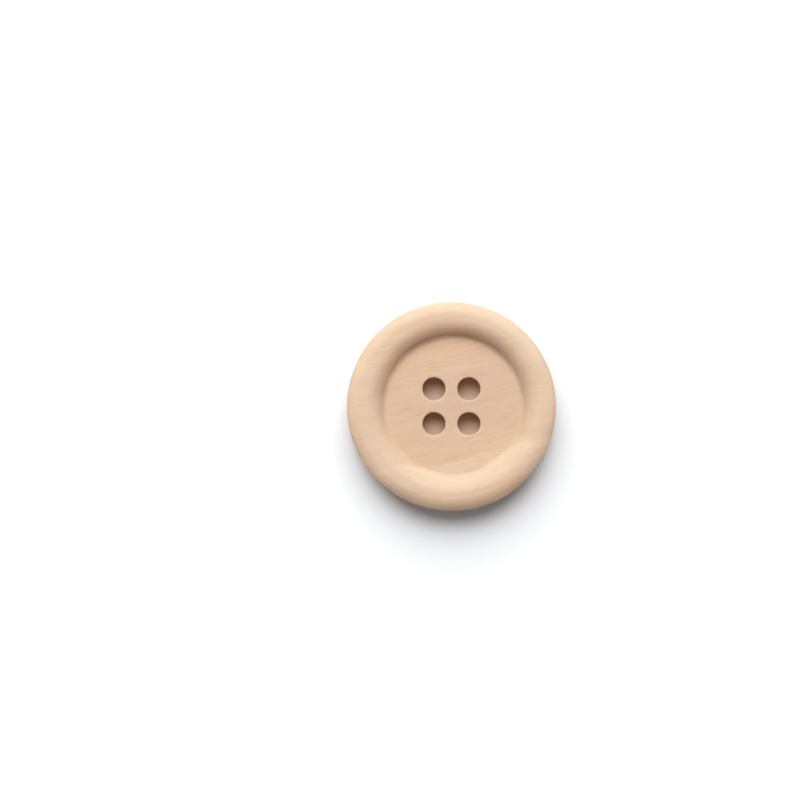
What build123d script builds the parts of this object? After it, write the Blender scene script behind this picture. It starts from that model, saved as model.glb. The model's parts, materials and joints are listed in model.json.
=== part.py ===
from build123d import *
import os

# Four-hole sewing button, turned from one piece of pale wood and lying on its back.
# Millimetres, +Z up out of the dished front, the origin in the middle of the flat back.

# The disc, and the outer half of its rim
diameter = 11.0
thickness = 2.05
back_edge_round = 0.7
crest_inset = 0.77
crest_land = 0.16
shoulder_drop = 0.32
shoulder_round = 0.2

# The recess, turned in a second chucking that runs a little off the disc's own axis
rim_width = 1.79
recess_depth = 0.68
foot_round = 0.3
recess_runout = 0.1

# The thread holes
hole_diameter = 1.2
hole_pitch = 1.84
hole_front_round = 0.06
hole_back_chamfer = 0.06

# How far each cut runs past the wood
overrun = 1.0

# Places that follow from the sizes above
outer_radius = diameter / 2
land_outer_radius = outer_radius - crest_inset + crest_land / 2
land_inner_radius = land_outer_radius - crest_land
shoulder_height = thickness - shoulder_drop
floor_radius = outer_radius - rim_width
floor_height = thickness - recess_depth
hole_radius = hole_diameter / 2


def round_corner(section: BuildSketch, place: tuple[float, float], radius: float) -> None:
    """Rounds the corner of a turned section that lies at a place in it."""
    fillet(section.vertices().sort_by_distance(place)[0], radius)


def turn_disc() -> Part:
    """Turns the disc: a flat back, a straight side, and the rim's outer half rolling up to its crest."""
    with BuildPart() as disc:
        with BuildSketch(Plane.XZ) as section:
            with BuildLine():
                back = Line((0, 0), (outer_radius, 0))
                side = Line(back @ 1, (outer_radius, shoulder_height))
                roll = TangentArc((land_outer_radius, thickness), side @ 1, tangent=(1, 0))
                Polyline(roll @ 0, (0, thickness), back @ 0)
            make_face()
            round_corner(section, (outer_radius, 0), back_edge_round)
            round_corner(section, (outer_radius, shoulder_height), shoulder_round)
        revolve(axis=Axis.Z)
    return disc.part


def recess_waste() -> Part:
    """What is turned away inside the rim: its inner half rolls down and runs out into a flat floor."""
    with BuildPart() as waste:
        with BuildSketch(Plane.XZ) as section:
            with BuildLine():
                floor = Line((0, floor_height), (floor_radius, floor_height))
                roll = TangentArc((land_inner_radius, thickness), floor @ 1, tangent=(-1, 0))
                mouth = Line(roll @ 0, (land_inner_radius, thickness + overrun))
                Polyline(mouth @ 1, (0, thickness + overrun), floor @ 0)
            make_face()
            round_corner(section, (floor_radius, floor_height), foot_round)
        revolve(axis=Axis.Z)
    return Pos(X=recess_runout) * waste.part


def hole_ends(body: Part) -> list[ShapeList[Edge]]:
    """The round edges at the two ends of the holes' straight walls, those at the back first."""
    rounds = body.edges().filter_by(GeomType.CIRCLE)
    ends = rounds.filter_by(lambda edge: abs(edge.radius - hole_radius) < hole_back_chamfer / 2)
    return ends.group_by(Axis.Z)


def drill_holes(body: Part) -> Part:
    """Drills the four thread holes through the floor, and eases their ends so that thread isn't cut."""
    drill = Cylinder(hole_radius, 2 * (thickness + overrun))
    drilled = body - [place * drill for place in GridLocations(hole_pitch, hole_pitch, 2, 2)]
    drilled = fillet(hole_ends(drilled)[-1], hole_front_round)
    return chamfer(hole_ends(drilled)[0], hole_back_chamfer)


os.makedirs("parts", exist_ok=True)
button = drill_holes(turn_disc() - recess_waste())
button.label = "button"
export_step(button, "parts/button.step")
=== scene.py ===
import json
import logging
import math
from dataclasses import dataclass
from enum import Enum
from typing import Any

import bmesh
import bpy
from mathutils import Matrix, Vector


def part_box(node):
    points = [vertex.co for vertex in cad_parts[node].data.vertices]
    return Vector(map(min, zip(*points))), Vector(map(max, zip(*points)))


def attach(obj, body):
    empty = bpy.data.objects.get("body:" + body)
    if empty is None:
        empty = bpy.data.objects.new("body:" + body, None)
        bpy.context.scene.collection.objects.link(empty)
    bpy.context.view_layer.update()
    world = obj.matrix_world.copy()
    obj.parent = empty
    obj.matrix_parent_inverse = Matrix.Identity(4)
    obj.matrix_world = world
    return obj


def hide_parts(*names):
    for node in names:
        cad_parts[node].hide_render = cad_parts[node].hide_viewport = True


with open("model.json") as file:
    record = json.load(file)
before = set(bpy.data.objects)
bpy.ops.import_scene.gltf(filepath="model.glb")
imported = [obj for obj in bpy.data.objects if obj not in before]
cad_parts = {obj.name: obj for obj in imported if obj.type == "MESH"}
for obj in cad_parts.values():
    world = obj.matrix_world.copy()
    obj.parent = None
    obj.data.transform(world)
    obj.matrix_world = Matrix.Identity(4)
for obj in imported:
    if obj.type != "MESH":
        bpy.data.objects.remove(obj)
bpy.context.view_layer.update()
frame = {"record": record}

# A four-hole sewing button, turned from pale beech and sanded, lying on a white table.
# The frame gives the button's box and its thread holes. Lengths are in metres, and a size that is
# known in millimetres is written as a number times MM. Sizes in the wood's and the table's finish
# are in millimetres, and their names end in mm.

MM = 0.001
ROUND = 2 * math.pi
QUARTER = math.pi / 2
WHITE_HEX = "FFFFFF"
# Points closer together than this are in the same place
SLACK = 0.001 * MM
# The mark on drilled surfaces, set on the mesh and read by its finish
BORED = "bored"
# A noise texture seldom goes below or above these values
NOISE_LOW = 0.3
NOISE_HIGH = 0.7
# A cell of noise holds a streak and the gap beside it, so it is two streaks long and two wide
STREAKS_PER_CELL = 2
# Numbers of a Mix node's colour sockets, which share their names with others
MIX_UNDER = 6
MIX_OVER = 7
MIX_RESULT = 2
# Which of a curve mapping's curves acts on red, green and blue alike
ALL_CHANNELS = 3

Mesh = bmesh.types.BMesh
Socket = bpy.types.NodeSocket
Tree = bpy.types.NodeTree

log = logging.getLogger("button")


class Face(Enum):
    """The two faces of the button."""

    FRONT = "front"
    BACK = "back"


def linear(hex_colour: str) -> tuple[float, float, float, float]:
    """Turns an sRGB hex colour into linear light.

    Args:
        hex_colour: Six hex digits.

    Returns:
        Linear red, green and blue, and an alpha of 1.
    """
    shares = [channel / 255 for channel in bytes.fromhex(hex_colour)]
    light = [s / 12.92 if s <= 0.04045 else ((s + 0.055) / 1.055) ** 2.4 for s in shares]
    return (*light, 1.0)


def add_node(tree: Tree, kind: str, inputs: dict[Any, Any], **settings: Any) -> bpy.types.Node:
    """Adds a node with its settings, values and links.

    Args:
        tree: The node tree that it goes into.
        kind: The node's type.
        inputs: Input name or number to a value, or to the output socket that feeds it.
        settings: The node's own properties.

    Returns:
        The new node.
    """
    node = tree.nodes.new(kind)
    for name, value in settings.items():
        setattr(node, name, value)
    for key, value in inputs.items():
        if isinstance(value, Socket):
            tree.links.new(value, node.inputs[key])
        else:
            node.inputs[key].default_value = value
    return node


def show(name: str, mesh: Mesh) -> bpy.types.Object:
    """Puts a finished mesh into the scene.

    Args:
        name: What the object and its mesh are called.
        mesh: The mesh, which is used up.

    Returns:
        The new object, at the origin.
    """
    shape = bpy.data.meshes.new(name)
    mesh.to_mesh(shape)
    mesh.free()
    shown = bpy.data.objects.new(name, shape)
    bpy.context.scene.collection.objects.link(shown)
    return shown


@dataclass
class TurnedSection:
    """A half-section that is drawn stroke by stroke, then turned about an upright axis.

    Attributes:
        mesh: The mesh that the turned surface goes into.
        axis: Where the turning axis stands.
        tip: The newest point of the section.
    """

    mesh: Mesh
    axis: Vector
    tip: bmesh.types.BMVert | None = None

    def place(self, radius: float, height: float) -> Vector:
        """The place in the section at a distance from the axis and a height."""
        return self.axis + Vector((radius, 0.0, height))

    def start(self, radius: float, height: float) -> None:
        """Puts the section's first point down."""
        self.tip = self.mesh.verts.new(self.place(radius, height))

    def line_to(self, radius: float, height: float) -> None:
        """Draws a straight stroke to a place."""
        self.tip = bmesh.ops.extrude_vert_indiv(self.mesh, verts=[self.tip])["verts"][0]
        self.tip.co = self.place(radius, height)

    def arc_about(self, radius: float, height: float, turn: float, steps: int) -> None:
        """Draws an arc from the newest point.

        Args:
            radius: Distance of the arc's centre from the axis.
            height: Height of the arc's centre.
            turn: Angle of the arc, positive from outwards to upwards.
            steps: How many straight steps make the arc.
        """
        centre = self.place(radius, height)
        swept = bmesh.ops.spin(
            self.mesh, geom=[self.tip], cent=centre, axis=(0.0, -1.0, 0.0), angle=turn, steps=steps
        )
        self.tip = next(part for part in swept["geom_last"] if isinstance(part, bmesh.types.BMVert))

    def turn(self, steps: int) -> None:
        """Turns the strokes drawn so far through a full round.

        Args:
            steps: How many straight steps make the round.
        """
        strokes = [edge for edge in self.mesh.edges if edge.is_wire]
        points = list({point for edge in strokes for point in edge.verts})
        bmesh.ops.spin(
            self.mesh, geom=points + strokes, cent=self.axis, axis=(0.0, 0.0, 1.0), angle=ROUND,
            steps=steps, use_merge=True
        )


def open_ring(mesh: Mesh, centre: Vector, radius: float, height: float) -> list[bmesh.types.BMEdge]:
    """Finds the open edges that lie on a level circle.

    Args:
        mesh: The mesh to look in.
        centre: A point on the circle's axis.
        radius: The circle's radius.
        height: The circle's height.

    Returns:
        The edges of the ring.
    """

    def on_circle(point: bmesh.types.BMVert) -> bool:
        """Whether a point lies on the circle."""
        across = (point.co.xy - centre.xy).length
        return abs(across - radius) < SLACK and abs(point.co.z - height) < SLACK

    return [edge for edge in mesh.edges if edge.is_boundary and all(map(on_circle, edge.verts))]


@dataclass(frozen=True)
class Streak:
    """One kind of streak that runs along the grain of the wood.

    Attributes:
        length_mm: Usual length of a streak.
        width_mm: Usual width of a streak.
        detail: How many layers of finer streaks ride on it.
        none_below: Noise up to which there is no streak.
        full_from: Noise from which a streak is at its clearest.
        share: Share of the streak's own colour where it is at its clearest.
        finer_share: How strong each finer layer is, beside the one before it.
    """

    length_mm: float
    width_mm: float
    detail: float
    none_below: float
    full_from: float
    share: float
    finer_share: float = 0.55

    def noise(self, tree: Tree, grain: Socket) -> Socket:
        """Draws noise out to the streaks' size.

        Args:
            tree: The material's nodes.
            grain: Places in the wood, in millimetres, with X along the grain.

        Returns:
            A value from 0 to 1 that varies from streak to streak.
        """
        sizes = (self.length_mm, self.width_mm, self.width_mm)
        cells = add_node(
            tree, "ShaderNodeVectorMath",
            {0: grain, 1: [1 / (STREAKS_PER_CELL * size) for size in sizes]}, operation="MULTIPLY",
        ).outputs["Vector"]
        return add_node(
            tree, "ShaderNodeTexNoise",
            {"Vector": cells, "Scale": 1.0, "Detail": self.detail, "Roughness": self.finer_share},
        ).outputs["Fac"]

    def cover(self, tree: Tree, noise: Socket) -> Socket:
        """Turns the streaks' noise into shares of their colour.

        Args:
            tree: The material's nodes.
            noise: The streaks' noise.

        Returns:
            A value from 0, between the streaks, to their share.
        """
        limits = {"From Min": self.none_below, "From Max": self.full_from, "To Max": self.share}
        return add_node(tree, "ShaderNodeMapRange", {"Value": noise, **limits}).outputs[0]


@dataclass(frozen=True)
class SandedBeech:
    """Steamed beech, turned with its grain across the button, sanded fine and left bare.

    A pale pinkish tan that is nearly even: hair-fine fibres along the grain, short darker ray flecks, one
    growth ring that ends in a pale line low on the face, and a soft sheen with no clear highlight.
    """

    # Fibres, flecks, pores and end grain are all a browner tan than the wood between them
    fibre_hex: str = "B58D6B"
    # Real fibres are under a fifth as wide, too fine for the picture, so bundles of them are drawn
    fibre: Streak = Streak(
        length_mm=3.0, width_mm=0.11, detail=3.0, none_below=0.3, full_from=0.75, share=0.18
    )
    # Open pores at about their real size, which show mainly from close to
    pore: Streak = Streak(
        length_mm=0.55, width_mm=0.03, detail=0.0, none_below=0.58, full_from=0.72, share=0.26
    )
    # Ends of the wood's rays: short darker flecks, at about their real size
    fleck: Streak = Streak(
        length_mm=0.9, width_mm=0.15, detail=1.0, none_below=0.63, full_from=0.8, share=0.22
    )
    # Slow changes from paler to darker wood: the share is the whole swing in brightness
    mottle: Streak = Streak(
        length_mm=2.6, width_mm=0.5, detail=1.0, none_below=NOISE_LOW, full_from=NOISE_HIGH, share=0.08
    )
    # The grain is turned from X by this much, and wanders by about so much over about so far
    grain_turn: float = math.radians(11)
    wander_mm: float = 0.7
    wander_over_mm: float = 4.5
    # The tree's heart lay beyond the button's far edge, and deeper than its back
    heart_mm: tuple[float, float, float] = (0.0, 30.0, -15.0)
    # A growth ring ends this far from the heart, low on the button's face
    ring_end_mm: float = 36.46
    # Places before and past the ring's end, in millimetres, and the colour there: the ring's own, with
    # painted warm shade on the far side
    ring_and_shade_tones: tuple[tuple[float, str], ...] = (
        # Painted warm shade: this reddest tone, on the far side, warms the shade that falls there
        (-6.5, "D9B192"),
        (-3.6, "CFB299"),
        (0.0, "CFB094"),
        (0.2, "DCBBA1"),
        (0.8, "D0B299"),
        (2.4, "BE9B7C"),
    )
    # Painted light: the top of the rim is painted a little paler than the recessed floor, for the light it
    # catches, with fainter flecks and pores
    rim_light_hex: str = "D9C1A9"
    rim_light_share: float = 0.5
    rim_light_from_mm: float = 3.5
    rim_light_full_mm: float = 4.5
    # The side is sanded less, and at two ends it cuts across the grain, where wood looks darker
    side_from_mm: float = 5.3
    side_full_mm: float = 5.5
    end_grain_share: float = 0.3
    # The holes' walls and mouths are a little darker and browner: partly the drill's browning, partly
    # painted shade inside the holes
    bored_and_shade_hex: str = "A67C5A"
    bored_and_shade_share: float = 0.25
    # Bare wood scatters light from its open fibres, so its sheen is soft and its shading gentle
    roughness_low: float = 0.55
    roughness_high: float = 0.65
    diffuse_roughness: float = 0.3
    # What the sandpaper leaves of the fibres' relief
    relief_mm: float = 0.004
    relief_strength: float = 0.6
    # Light soaks this far into bare wood, red furthest, so that its shaded edges look soft and warm
    glow_share: float = 0.6
    glow_mm: float = 0.6
    glow_reach: tuple[float, float, float] = (1.0, 0.6, 0.35)

    def material(self) -> bpy.types.Material:
        """Makes the wood.

        Returns:
            The material, on Object coordinates and the mark on drilled surfaces.
        """
        wood = bpy.data.materials.new("sanded_beech")
        wood.use_nodes = True
        tree = wood.node_tree
        tree.nodes.clear()
        place = add_node(tree, "ShaderNodeTexCoord", {}).outputs["Object"]
        grain = self._grain(tree, place)
        fibre = self.fibre.noise(tree, grain)
        pore = self.pore.cover(tree, self.pore.noise(tree, grain))
        rough = add_node(
            tree, "ShaderNodeMapRange",
            {
                "Value": fibre,
                "From Min": NOISE_LOW,
                "From Max": NOISE_HIGH,
                "To Min": self.roughness_low,
                "To Max": self.roughness_high,
            },
        ).outputs[0]
        # A clear pore is as deep as the fibres stand high
        height = add_node(
            tree, "ShaderNodeMath", {0: pore, 1: -1 / self.pore.share, 2: fibre}, operation="MULTIPLY_ADD"
        ).outputs[0]
        relief = add_node(
            tree, "ShaderNodeBump",
            {"Height": height, "Strength": self.relief_strength, "Distance": self.relief_mm * MM},
        ).outputs["Normal"]
        shader = add_node(
            tree, "ShaderNodeBsdfPrincipled",
            {
                "Base Color": self._tone(tree, place, grain, fibre, pore),
                "Roughness": rough,
                "Normal": relief,
                "Diffuse Roughness": self.diffuse_roughness,
                "Subsurface Weight": self.glow_share,
                "Subsurface Radius": self.glow_reach,
                "Subsurface Scale": self.glow_mm * MM,
            },
        ).outputs["BSDF"]
        add_node(tree, "ShaderNodeOutputMaterial", {"Surface": shader})
        return wood

    def _grain(self, tree: Tree, place: Socket) -> Socket:
        """Places in the wood.

        Args:
            tree: The material's nodes.
            place: Places on the button, in metres.

        Returns:
            The place in millimetres, turned to the grain and wandering with it.
        """
        turned = add_node(
            tree, "ShaderNodeMapping",
            {"Vector": place, "Rotation": (0.0, 0.0, -self.grain_turn), "Scale": (1 / MM,) * 3},
        ).outputs["Vector"]
        drift = add_node(
            tree, "ShaderNodeTexNoise",
            {"Vector": turned, "Scale": 1 / self.wander_over_mm, "Detail": 1.0},
        ).outputs["Color"]
        return add_node(
            tree, "ShaderNodeVectorMath", {0: drift, 1: (0.0, self.wander_mm, self.wander_mm), 2: turned},
            operation="MULTIPLY_ADD",
        ).outputs["Vector"]

    def _tone(self, tree: Tree, place: Socket, grain: Socket, fibre: Socket, pore: Socket) -> Socket:
        """The wood's colour, with painted light on the top of the rim and painted shade in the holes.

        Args:
            tree: The material's nodes.
            place: Places on the button, in metres.
            grain: Places in the wood.
            fibre: The fibres' noise.
            pore: The pores' share.

        Returns:
            The colour.
        """
        flat = add_node(
            tree, "ShaderNodeVectorMath", {0: place, 1: (1 / MM, 1 / MM, 0.0)}, operation="MULTIPLY"
        ).outputs["Vector"]
        reach = add_node(tree, "ShaderNodeVectorMath", {0: flat}, operation="LENGTH").outputs["Value"]
        # Painted light: the top of the rim is painted paler than the recessed floor
        rim = add_node(
            tree, "ShaderNodeMapRange",
            {
                "Value": reach,
                "From Min": self.rim_light_from_mm,
                "From Max": self.rim_light_full_mm,
                "To Max": self.rim_light_share,
            },
        ).outputs[0]
        side = add_node(
            tree, "ShaderNodeMapRange",
            {"Value": reach, "From Min": self.side_from_mm, "From Max": self.side_full_mm},
            interpolation_type="SMOOTHSTEP",
        ).outputs[0]
        tone = add_node(
            tree, "ShaderNodeMix",
            {"Factor": rim, MIX_UNDER: self._rings(tree, grain), MIX_OVER: linear(self.rim_light_hex)},
            data_type="RGBA",
        ).outputs[MIX_RESULT]
        # What lies over the rings in the fibres' colour, from the lowest up
        figure = (
            self._end_grain(tree, flat, side),
            self.fibre.cover(tree, fibre),
            self._specks(tree, grain, pore, rim, side),
        )
        for share in figure:
            tone = add_node(
                tree, "ShaderNodeMix",
                {"Factor": share, MIX_UNDER: tone, MIX_OVER: linear(self.fibre_hex)}, data_type="RGBA",
            ).outputs[MIX_RESULT]
        mottle = self.mottle.cover(tree, self.mottle.noise(tree, grain))
        shade = add_node(
            tree, "ShaderNodeMath", {0: mottle, 1: 1.0 - self.mottle.share / 2}, operation="ADD"
        ).outputs[0]
        mottled = add_node(
            tree, "ShaderNodeVectorMath", {0: tone, "Scale": shade}, operation="SCALE"
        ).outputs["Vector"]
        # Painted shade: the holes' walls and mouths are browned, partly for the drill and partly for the
        # shade inside the holes
        bored = add_node(tree, "ShaderNodeAttribute", {}, attribute_name=BORED).outputs["Fac"]
        browned_and_shaded = add_node(
            tree, "ShaderNodeMath", {0: bored, 1: self.bored_and_shade_share}, operation="MULTIPLY"
        ).outputs[0]
        return add_node(
            tree, "ShaderNodeMix",
            {"Factor": browned_and_shaded, MIX_UNDER: mottled, MIX_OVER: linear(self.bored_and_shade_hex)}, data_type="RGBA",
        ).outputs[MIX_RESULT]

    def _rings(self, tree: Tree, grain: Socket) -> Socket:
        """Growth rings about the tree's heart, and painted warm shade on the far side.

        Args:
            tree: The material's nodes.
            grain: Places in the wood.

        Returns:
            The wood's colour before anything is laid over it.
        """
        from_heart = add_node(
            tree, "ShaderNodeVectorMath", {0: grain, 1: self.heart_mm}, operation="SUBTRACT"
        ).outputs["Vector"]
        across = add_node(
            tree, "ShaderNodeVectorMath", {0: from_heart, 1: (0.0, 1.0, 1.0)}, operation="MULTIPLY"
        ).outputs["Vector"]
        reach = add_node(tree, "ShaderNodeVectorMath", {0: across}, operation="LENGTH").outputs["Value"]
        first, far_shade_tone = self.ring_and_shade_tones[0]
        last = self.ring_and_shade_tones[-1][0]
        share = add_node(
            tree, "ShaderNodeMapRange",
            {"Value": reach, "From Min": self.ring_end_mm + first, "From Max": self.ring_end_mm + last},
        ).outputs[0]
        ramp = add_node(tree, "ShaderNodeValToRGB", {"Fac": share})
        stops = ramp.color_ramp.elements
        stops.remove(stops[1])
        stops[0].color = linear(far_shade_tone)
        for past_end, tone in self.ring_and_shade_tones[1:]:
            stops.new((past_end - first) / (last - first)).color = linear(tone)
        return ramp.outputs["Color"]

    def _end_grain(self, tree: Tree, flat: Socket, side: Socket) -> Socket:
        """End grain, where the side faces along the grain.

        Args:
            tree: The material's nodes.
            flat: Places on the button, seen from above.
            side: How much a place belongs to the side.

        Returns:
            The share of the end grain's colour.
        """
        outwards = add_node(
            tree, "ShaderNodeVectorMath", {0: flat}, operation="NORMALIZE"
        ).outputs["Vector"]
        along = (math.cos(self.grain_turn), math.sin(self.grain_turn), 0.0)
        facing = add_node(
            tree, "ShaderNodeVectorMath", {0: outwards, 1: along}, operation="DOT_PRODUCT"
        ).outputs["Value"]
        cut_across = add_node(
            tree, "ShaderNodeMath", {0: facing, 1: facing}, operation="MULTIPLY"
        ).outputs[0]
        on_side = add_node(
            tree, "ShaderNodeMath", {0: cut_across, 1: side}, operation="MULTIPLY"
        ).outputs[0]
        return add_node(
            tree, "ShaderNodeMath", {0: on_side, 1: self.end_grain_share}, operation="MULTIPLY"
        ).outputs[0]

    def _specks(self, tree: Tree, grain: Socket, pore: Socket, rim: Socket, side: Socket) -> Socket:
        """Ray flecks and pores, fainter on the top of the rim, which is painted paler for the light it
        catches.

        Args:
            tree: The material's nodes.
            grain: Places in the wood.
            pore: The pores' share.
            rim: How much of the rim's painted paler colour a place has.
            side: How much a place belongs to the side.

        Returns:
            The share of the flecks' and pores' colour.
        """
        fleck = self.fleck.cover(tree, self.fleck.noise(tree, grain))
        speck = add_node(tree, "ShaderNodeMath", {0: fleck, 1: pore}, operation="MAXIMUM").outputs[0]
        off_rim = add_node(tree, "ShaderNodeMath", {0: 1.0, 1: rim}, operation="SUBTRACT").outputs[0]
        clear = add_node(
            tree, "ShaderNodeMath", {0: side, 1: self.rim_light_share, 2: off_rim}, operation="MULTIPLY_ADD"
        ).outputs[0]
        return add_node(tree, "ShaderNodeMath", {0: speck, 1: clear}, operation="MULTIPLY").outputs[0]


@dataclass(frozen=True)
class MattLaminate:
    """White laminate with a matt face, pressed smooth.

    An even white that takes soft shadows and shows no reflection. Where the button covers it, it is
    painted tan, as painted warm shade under the wood, so that the ground seen through the thread holes is
    tan and not white.
    """

    white_hex: str = "F1F3F6"
    # Painted shade: the tan under the button is the warm shade beneath the wood
    covered_shade_hex: str = "E8CEB6"
    covered_to_mm: float = 3.2
    white_from_mm: float = 4.2
    roughness: float = 0.8

    def material(self) -> bpy.types.Material:
        """Makes the laminate.

        Returns:
            The material, on Object coordinates.
        """
        laminate = bpy.data.materials.new("matt_white_laminate")
        laminate.use_nodes = True
        tree = laminate.node_tree
        tree.nodes.clear()
        place = add_node(tree, "ShaderNodeTexCoord", {}).outputs["Object"]
        reach = add_node(tree, "ShaderNodeVectorMath", {0: place}, operation="LENGTH").outputs["Value"]
        # Painted shade under the button, which shows only through the thread holes
        covered_shade = add_node(
            tree, "ShaderNodeMapRange",
            {
                "Value": reach,
                "From Min": self.covered_to_mm * MM,
                "From Max": self.white_from_mm * MM,
                "To Min": 1.0,
                "To Max": 0.0,
            },
        ).outputs[0]
        tone = add_node(
            tree, "ShaderNodeMix",
            {"Factor": covered_shade, MIX_UNDER: linear(self.white_hex), MIX_OVER: linear(self.covered_shade_hex)},
            data_type="RGBA",
        ).outputs[MIX_RESULT]
        shader = add_node(
            tree, "ShaderNodeBsdfPrincipled", {"Base Color": tone, "Roughness": self.roughness}
        ).outputs["BSDF"]
        add_node(tree, "ShaderNodeOutputMaterial", {"Surface": shader})
        return laminate


@dataclass
class Button:
    """The button: a disc with a rolled rim, a recess turned a little off its axis, and four thread holes.

    Attributes:
        low: Lowest corner of its box.
        high: Highest corner of its box.
        holes: Where the thread holes stand.
        hole_radius: Radius of their straight walls.
    """

    low: Vector
    high: Vector
    holes: list[Vector]
    hole_radius: float
    # The disc, and the outer half of its rim
    back_edge_round: float = 0.7 * MM
    crest_inset: float = 0.77 * MM
    crest_land: float = 0.16 * MM
    shoulder_drop: float = 0.32 * MM
    shoulder_round: float = 0.2 * MM
    # The recess, which stands off the disc's axis
    rim_width: float = 1.79 * MM
    recess_depth: float = 0.68 * MM
    foot_round: float = 0.3 * MM
    recess_runout: float = 0.1 * MM
    # The ends of the thread holes
    hole_front_round: float = 0.06 * MM
    hole_back_chamfer: float = 0.06 * MM
    # A flat ring beside each round keeps the floor's and the back's smooth shading level
    margin: float = 0.12 * MM
    # How many steps make each full round and each arc of the sections
    round_steps: int = 256
    hole_steps: int = 64
    back_edge_steps: int = 12
    shoulder_steps: int = 8
    outer_roll_steps: int = 16
    inner_roll_steps: int = 20
    foot_steps: int = 12
    mouth_steps: int = 8

    def __post_init__(self) -> None:
        """Works out the places that several cuts share."""
        self.outer_radius = (self.high.x - self.low.x) / 2
        self.top = self.high.z
        self.floor_radius = self.outer_radius - self.rim_width
        self.floor_height = self.top - self.recess_depth
        self.land_outer = self.outer_radius - self.crest_inset + self.crest_land / 2
        self.land_inner = self.land_outer - self.crest_land
        self.disc_axis = Vector((0.0, 0.0, 0.0))
        self.recess_axis = Vector((self.recess_runout, 0.0, 0.0))
        self.back_flat = self.outer_radius - self.back_edge_round
        self.back_ring = self.back_flat - self.margin
        self.floor_ring = self.floor_radius - self.foot_round - self.margin
        self.mouth = self.hole_radius + self.hole_front_round
        self.bevel = self.hole_radius + self.hole_back_chamfer

    def build(self) -> bpy.types.Object:
        """Models the button as one closed mesh.

        Returns:
            The button's object, at the origin.
        """
        mesh = bmesh.new()
        self._turn_disc(mesh)
        self._turn_recess(mesh)
        for hole in self.holes:
            self._drill(mesh, hole)
        self._close(mesh)
        self._mark_bores(mesh)
        self.piece = show("turned_button", mesh)
        self.piece.data.shade_smooth()
        return self.piece

    def dress(self, finish: SandedBeech) -> None:
        """Gives the button its finish."""
        self.piece.data.materials.append(finish.material())

    def _turn_disc(self, mesh: Mesh) -> None:
        """Turns the back's edge, the side, the shoulder and the rim's outer half.

        Args:
            mesh: The button's mesh.
        """
        run = self.outer_radius - self.land_outer
        roll = (run ** 2 + self.shoulder_drop ** 2) / (2 * self.shoulder_drop)
        roll_height = self.top - roll
        ease_radius = self.outer_radius - self.shoulder_round
        ease_run = ease_radius - self.land_outer
        ease_rise = math.sqrt((roll - self.shoulder_round) ** 2 - ease_run ** 2)
        ease_height = roll_height + ease_rise
        lean = math.atan2(ease_rise, ease_run)
        section = TurnedSection(mesh, self.disc_axis)
        section.start(self.back_ring, 0.0)
        section.line_to(self.back_flat, 0.0)
        section.arc_about(self.back_flat, self.back_edge_round, QUARTER, self.back_edge_steps)
        section.line_to(self.outer_radius, (self.back_edge_round + ease_height) / 2)
        section.line_to(self.outer_radius, ease_height)
        section.arc_about(ease_radius, ease_height, lean, self.shoulder_steps)
        section.arc_about(self.land_outer, roll_height, QUARTER - lean, self.outer_roll_steps)
        section.turn(self.round_steps)

    def _turn_recess(self, mesh: Mesh) -> None:
        """Turns the rim's inner half, rolling over and then out into the floor.

        Args:
            mesh: The button's mesh.
        """
        run = self.land_inner - self.floor_radius
        roll = (run ** 2 + self.recess_depth ** 2) / (2 * self.recess_depth)
        both = roll + self.foot_round
        lean = math.acos((both - self.recess_depth) / both)
        floor_edge = self.land_inner - both * math.sin(lean)
        section = TurnedSection(mesh, self.recess_axis)
        section.start(self.land_inner, self.top)
        section.arc_about(self.land_inner, self.top - roll, lean, self.inner_roll_steps)
        section.arc_about(floor_edge, self.floor_height + self.foot_round, -lean, self.foot_steps)
        section.line_to(self.floor_ring, self.floor_height)
        section.turn(self.round_steps)

    def _drill(self, mesh: Mesh, hole: Vector) -> None:
        """Drills one thread hole: a rounded mouth, a straight wall and a small bevel at the back.

        Args:
            mesh: The button's mesh.
            hole: Where the hole stands.
        """
        section = TurnedSection(mesh, hole)
        section.start(self.mouth + self.margin, self.floor_height)
        section.line_to(self.mouth, self.floor_height)
        section.arc_about(self.mouth, self.floor_height - self.hole_front_round, QUARTER, self.mouth_steps)
        section.line_to(self.hole_radius, self.floor_height / 2)
        section.line_to(self.hole_radius, self.hole_back_chamfer)
        section.line_to(self.bevel, 0.0)
        section.line_to(self.bevel + self.margin, 0.0)
        section.turn(self.hole_steps)

    def _hole_ring(self, mesh: Mesh, hole: Vector, face: Face) -> list[bmesh.types.BMEdge]:
        """Finds the open ring of a hole.

        Args:
            mesh: The button's mesh.
            hole: Where the hole stands.
            face: The face of the button that the ring lies in.

        Returns:
            The edges of the ring.
        """
        if face is Face.FRONT:
            return open_ring(mesh, hole, self.mouth + self.margin, self.floor_height)
        return open_ring(mesh, hole, self.bevel + self.margin, 0.0)

    def _close(self, mesh: Mesh) -> None:
        """Joins the turned surfaces at the rim's crest, the floor and the back.

        Args:
            mesh: The button's mesh.
        """
        outer = open_ring(mesh, self.disc_axis, self.land_outer, self.top)
        inner = open_ring(mesh, self.recess_axis, self.land_inner, self.top)
        bmesh.ops.bridge_loops(mesh, edges=outer + inner)
        floor = open_ring(mesh, self.recess_axis, self.floor_ring, self.floor_height)
        back = open_ring(mesh, self.disc_axis, self.back_ring, 0.0)
        for hole in self.holes:
            floor += self._hole_ring(mesh, hole, Face.FRONT)
            back += self._hole_ring(mesh, hole, Face.BACK)
        bmesh.ops.triangle_fill(mesh, use_beauty=True, edges=floor)
        bmesh.ops.triangle_fill(mesh, use_beauty=True, edges=back)
        bmesh.ops.remove_doubles(mesh, verts=mesh.verts, dist=SLACK)
        bmesh.ops.recalc_face_normals(mesh, faces=mesh.faces)

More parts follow.
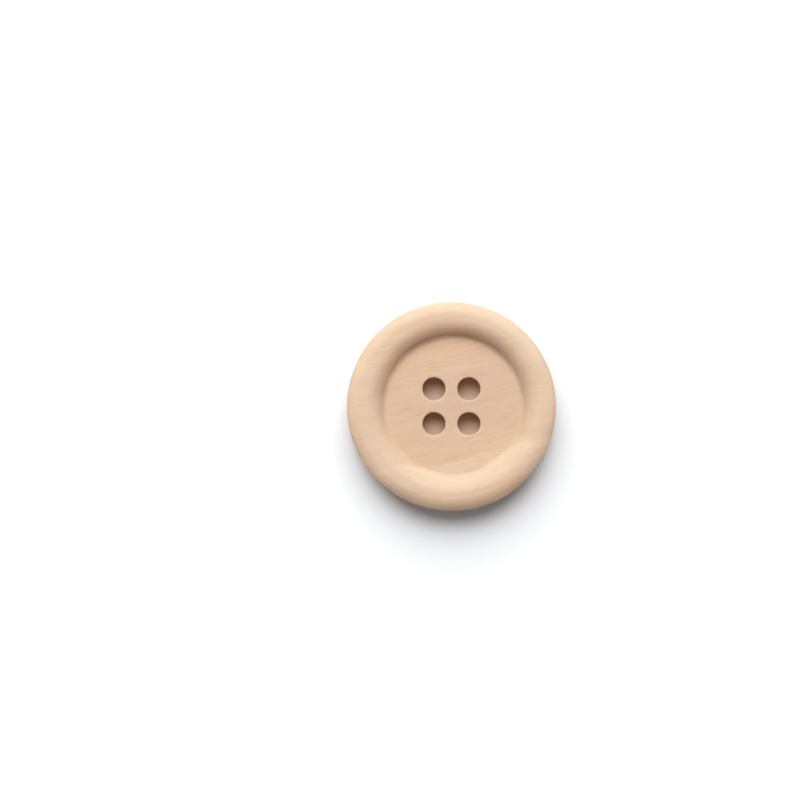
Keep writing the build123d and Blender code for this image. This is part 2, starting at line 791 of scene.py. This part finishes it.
    def _mark_bores(self, mesh: Mesh) -> None:
        """Marks the holes' walls and rounded mouths, which the finish reads.

        Args:
            mesh: The button's mesh.
        """
        bored = mesh.verts.layers.float.new(BORED)
        for point in mesh.verts:
            nearest = min((point.co.xy - hole.xy).length for hole in self.holes)
            point[bored] = float(nearest < self.mouth - SLACK)


@dataclass(frozen=True)
class SoftLight:
    """A broad soft light, far enough away to fall evenly.

    Attributes:
        name: What it is called.
        elevation: Its height above the table, in degrees.
        azimuth: Its direction, in degrees from the far side towards the left.
        spread: How wide it looks from the button, in degrees.
        share: The share of the table's light that it gives.
    """

    name: str
    elevation: float
    azimuth: float
    spread: float
    share: float

    def build(self, table_light: float) -> None:
        """Hangs the light.

        Args:
            table_light: All the light that falls on the table, in watts per square metre.
        """
        rise = math.radians(self.elevation)
        swing = math.radians(self.azimuth)
        lamp = bpy.data.lights.new(self.name, "SUN")
        lamp.angle = math.radians(self.spread)
        lamp.energy = self.share * table_light / math.sin(rise)
        level = math.cos(rise)
        towards = Vector((-math.sin(swing) * level, math.cos(swing) * level, math.sin(rise)))
        light = bpy.data.objects.new(self.name, lamp)
        light.rotation_euler = towards.to_track_quat("Z", "Y").to_euler()
        bpy.context.scene.collection.objects.link(light)


@dataclass
class Studio:
    """White table, soft light from the far side and above, and a camera that looks almost straight down.

    Attributes:
        subject: Middle of the button.
        frame_width: How much of the table the picture takes in.
        subject_offset: How far the button lies from the picture's middle, to the right and up.
    """

    subject: Vector
    frame_width: float = 42.2 * MM
    subject_offset: tuple[float, float] = (2.71 * MM, -0.34 * MM)
    camera_elevation: float = 89.6
    camera_distance: float = 300 * MM
    near_clip: float = 10 * MM
    table_size: float = 4.0
    table_finish: MattLaminate = MattLaminate()
    # The table's top lies a hair below the button's back, so that the two don't show through each other
    table_gap: float = 0.005 * MM
    # How bright the lit table comes out, where 1 is white, and the share of light that it reflects
    table_brightness: float = 1.165
    table_reflects: float = 0.9
    # The room, a window on the far side and the walls to the left and right share the table's light
    room_share: float = 0.083
    lights: tuple[SoftLight, ...] = (
        SoftLight("window", elevation=47.7, azimuth=5.0, spread=62.0, share=0.873),
        SoftLight("left_wall", elevation=14.0, azimuth=90.0, spread=60.0, share=0.021),
        SoftLight("right_wall", elevation=14.0, azimuth=-90.0, spread=60.0, share=0.023),
    )
    # Above this value the film's response rises more slowly, at this slope
    shoulder_from: float = 0.7
    shoulder_slope: float = 0.75

    @property
    def table_light(self) -> float:
        """All the light that falls on the table, in watts per square metre."""
        return self.table_brightness * math.pi / self.table_reflects

    def build(self) -> None:
        """Sets out the table, the lights, the room, the camera and its film."""
        self._table()
        for light in self.lights:
            light.build(self.table_light)
        self._room()
        self._camera()
        self._film()

    def _table(self) -> bpy.types.Object:
        """A plain table top, just under the button.

        Returns:
            The table's object.
        """
        mesh = bmesh.new()
        bmesh.ops.create_grid(mesh, x_segments=1, y_segments=1, size=self.table_size / 2)
        bmesh.ops.translate(mesh, verts=mesh.verts, vec=(0.0, 0.0, -self.table_gap))
        table = show("table", mesh)
        table.data.materials.append(self.table_finish.material())
        return table

    def _room(self) -> None:
        """Even light from the room, and a white backdrop behind the table."""
        room = bpy.data.worlds.new("room")
        room.use_nodes = True
        tree = room.node_tree
        tree.nodes.clear()
        white = linear(WHITE_HEX)
        strength = self.room_share * self.table_light / math.pi
        glow = add_node(tree, "ShaderNodeBackground", {"Color": white, "Strength": strength}).outputs[0]
        backdrop = add_node(tree, "ShaderNodeBackground", {"Color": white}).outputs[0]
        seen = add_node(tree, "ShaderNodeLightPath", {}).outputs["Is Camera Ray"]
        mixed = add_node(tree, "ShaderNodeMixShader", {0: seen, 1: glow, 2: backdrop}).outputs[0]
        add_node(tree, "ShaderNodeOutputWorld", {"Surface": mixed})
        bpy.context.scene.world = room

    def _camera(self) -> None:
        """A long lens above the table, with the button a little right of the picture's middle."""
        lens = bpy.data.cameras.new("camera")
        lens.lens = lens.sensor_width * self.camera_distance / self.frame_width
        lens.clip_start = self.near_clip
        tilt = math.radians(self.camera_elevation)
        back = Vector((0.0, -math.cos(tilt), math.sin(tilt)))
        right = Vector((1.0, 0.0, 0.0))
        up = back.cross(right)
        middle = self.subject - right * self.subject_offset[0] - up * self.subject_offset[1]
        camera = bpy.data.objects.new("camera", lens)
        camera.location = middle + back * self.camera_distance
        camera.rotation_euler = back.to_track_quat("Z", "Y").to_euler()
        bpy.context.scene.collection.objects.link(camera)
        bpy.context.scene.camera = camera

    def _film(self) -> None:
        """A camera's soft shoulder: bright values draw together, so that pale wood keeps its colour."""
        view = bpy.context.scene.view_settings
        view.view_transform = "Standard"
        view.use_curve_mapping = True
        response = view.curve_mapping
        response.use_clip = False
        response.extend = "EXTRAPOLATED"
        points = response.curves[ALL_CHANNELS].points
        points[1].location.y = self.shoulder_from + self.shoulder_slope * (1.0 - self.shoulder_from)
        points.new(self.shoulder_from, self.shoulder_from)
        for point in points:
            point.handle_type = "VECTOR"
        response.update()


def thread_holes() -> tuple[list[Vector], float]:
    """Reads the thread holes from the frame's record.

    Returns:
        Where each hole stands on the table, and the radius of their walls.
    """
    bores = [mount for mount in frame["record"]["mounts"] if mount["kind"] == "bore"]
    places = [Vector((bore["pos_m"][0], bore["pos_m"][1], 0.0)) for bore in bores]
    return places, bores[0]["dims"]["r_mm"] * MM


def main() -> None:
    """Builds the button and its studio."""
    logging.basicConfig(level=logging.INFO, format="%(message)s")
    low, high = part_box("button")
    holes, hole_radius = thread_holes()
    button = Button(Vector(low), Vector(high), holes, hole_radius)
    piece = button.build()
    button.dress(SandedBeech())
    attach(piece, "root")
    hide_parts("button")
    log.info("%s: %d faces", piece.name, len(piece.data.polygons))
    Studio((Vector(low) + Vector(high)) / 2).build()


if __name__ == "__main__":
    main()
